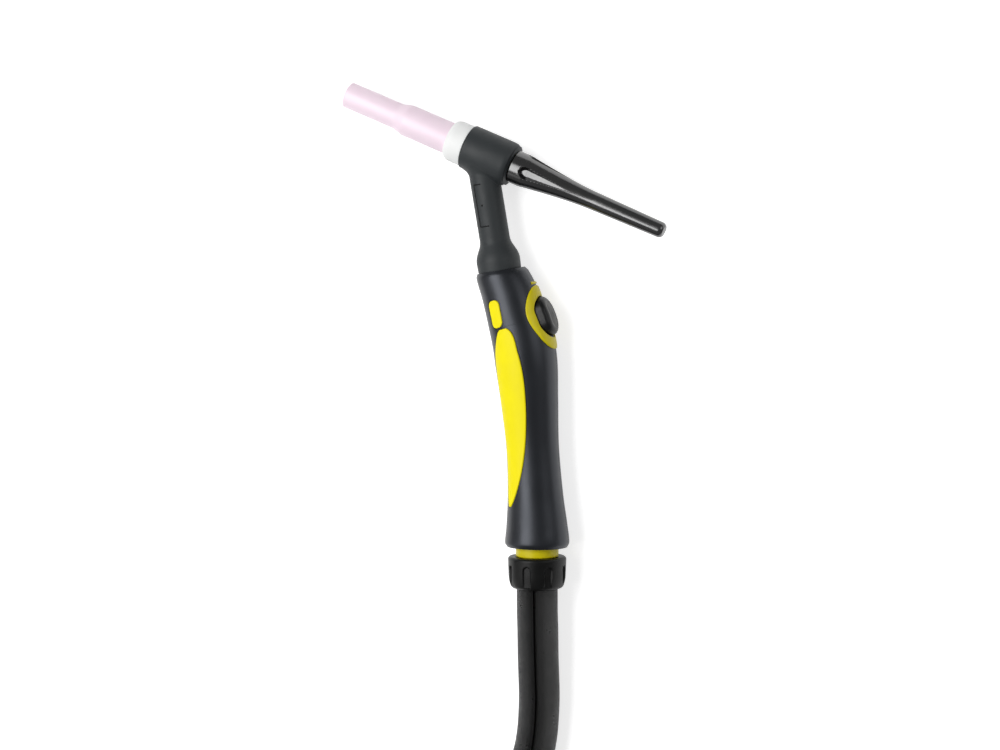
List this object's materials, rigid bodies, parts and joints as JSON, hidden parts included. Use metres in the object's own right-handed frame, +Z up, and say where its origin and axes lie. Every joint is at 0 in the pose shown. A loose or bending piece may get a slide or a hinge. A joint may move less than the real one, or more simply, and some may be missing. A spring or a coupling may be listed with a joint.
{
  "type": "tig torch",
  "caption": "Gas-cooled TIG welding torch with ceramic nozzle, long back cap, trigger handle, swivel outlet and leather-sheathed cable coiled to its connectors.",
  "frame": {"origin": "middle of the torch's own box on the surface it lies on, the cable left out", "axes": "+Y from the cable towards the head, +Z up off the surface, +X towards the trigger and back cap"},
  "size_m": [0.3195, 0.7479, 0.0818],
  "materials": {
    "alumina": "satin, slip-cast alumina ceramic",
    "ptfe": "waxy white PTFE",
    "copper": "machined copper alloy",
    "tungsten": "ground tungsten",
    "brass": "machined brass",
    "head_rubber": "matte moulded silicone rubber",
    "cap_phenolic": "glossy black phenolic",
    "black_rubber": "black rubber",
    "handle_plastic": "satin glass-filled nylon",
    "yellow_grip": "satin yellow elastomer",
    "yellow_plastic": "satin mustard-yellow nylon",
    "button_plastic": "satin black nylon",
    "steel": "zinc-plated steel",
    "switch_plastic": "black moulded plastic",
    "nut_plastic": "satin black nylon",
    "leather": "grained black leather"
  },
  "bodies": {
    "torch": {"collet_body": "copper", "collet": "copper", "head_core": "brass", "head_jacket": "head_rubber", "neck_tube": "brass", "cable_coupling": "brass", "inner_cable": "black_rubber", "handle_shell_upper": "handle_plastic", "handle_shell_lower": "handle_plastic", "handle_screws": "steel", "side_grip_upper": "yellow_grip", "side_grip_lower": "yellow_grip", "badge_upper": "yellow_grip", "badge_lower": "yellow_grip", "switch_bezel": "yellow_plastic", "bezel_mark": "yellow_plastic", "button_spring": "steel", "microswitch": "switch_plastic", "switch_lead": "black_rubber", "cable_sheath": "leather", "cable_coil": "leather", "cable_tail": "leather", "splitter_boot": "black_rubber", "power_lead": "black_rubber", "power_plug_sleeve": "black_rubber", "power_plug_pin": "brass", "gas_hose": "black_rubber", "gas_nipple": "brass", "control_lead": "black_rubber", "control_plug": "switch_plastic"},
    "insulator": {"cup_insulator": "ptfe"},
    "nozzle": {"gas_nozzle": "alumina"},
    "cap_seal": {"back_cap_o_ring": "black_rubber"},
    "cap": {"back_cap": "cap_phenolic", "back_cap_insert": "brass"},
    "electrode": {"tungsten_electrode": "tungsten"},
    "button": {"trigger_button": "button_plastic"},
    "plunger": {"switch_plunger": "switch_plastic"},
    "swivel": {"swivel_ring": "yellow_plastic", "cable_nut": "nut_plastic"},
    "gas_union": {"gas_nut": "brass"},
    "plug_lock": {"control_plug_ring": "switch_plastic"}
  },
  "joints": [
    {"name": "nozzle_travel", "type": "slide", "parent": "torch", "child": "insulator", "axis": [-0.9272, 0.3746, 0], "range_m": [0, 0.00251]},
    {"name": "nozzle_turn", "type": "hinge", "parent": "insulator", "child": "nozzle", "pos_m": [-0.01391, 0.10764, 0.0172], "axis": [-0.9272, 0.3746, 0], "range_deg": [0, 720]},
    {"name": "cap_travel", "type": "slide", "parent": "torch", "child": "cap_seal", "axis": [0.9272, -0.3746, 0], "range_m": [0, 0.00251]},
    {"name": "cap_turn", "type": "hinge", "parent": "cap_seal", "child": "cap", "pos_m": [-0.01391, 0.10764, 0.0172], "axis": [0.9272, -0.3746, 0], "range_deg": [0, 720]},
    {"name": "electrode_slide", "type": "slide", "parent": "torch", "child": "electrode", "axis": [-0.9272, 0.3746, 0], "range_m": [0, 0.012]},
    {"name": "button_press", "type": "slide", "parent": "torch", "child": "button", "axis": [-0.9304, -0.3665, 0], "range_m": [0, 0.0015], "stiffness_N_per_m": 700, "springref_m": -0.003, "deforming": ["button_spring"]},
    {"name": "plunger_press", "type": "slide", "parent": "torch", "child": "plunger", "axis": [-0.9304, -0.3665, 0], "range_m": [0, 0.00151]},
    {"name": "swivel_spin", "type": "hinge", "parent": "torch", "child": "swivel", "pos_m": [0.02104, -0.12354, 0.0172], "axis": [0, -1, 0], "continuous": true},
    {"name": "gas_nut_spin", "type": "hinge", "parent": "torch", "child": "gas_union", "pos_m": [0.0455, -0.31994, 0.0593], "axis": [-0.9397, 0.342, 0], "continuous": true},
    {"name": "plug_lock_spin", "type": "hinge", "parent": "torch", "child": "plug_lock", "pos_m": [0.05251, -0.30067, 0.0578], "axis": [-0.9397, 0.342, 0], "continuous": true}
  ],
  "couplings": [
    {"joint": "nozzle_travel", "follows": "nozzle_turn", "m_per_rad": 0.00019894},
    {"joint": "cap_travel", "follows": "cap_turn", "m_per_rad": 0.00019894},
    {"joint": "plunger_press", "follows": "button_press", "ratio": 1}
  ]
}
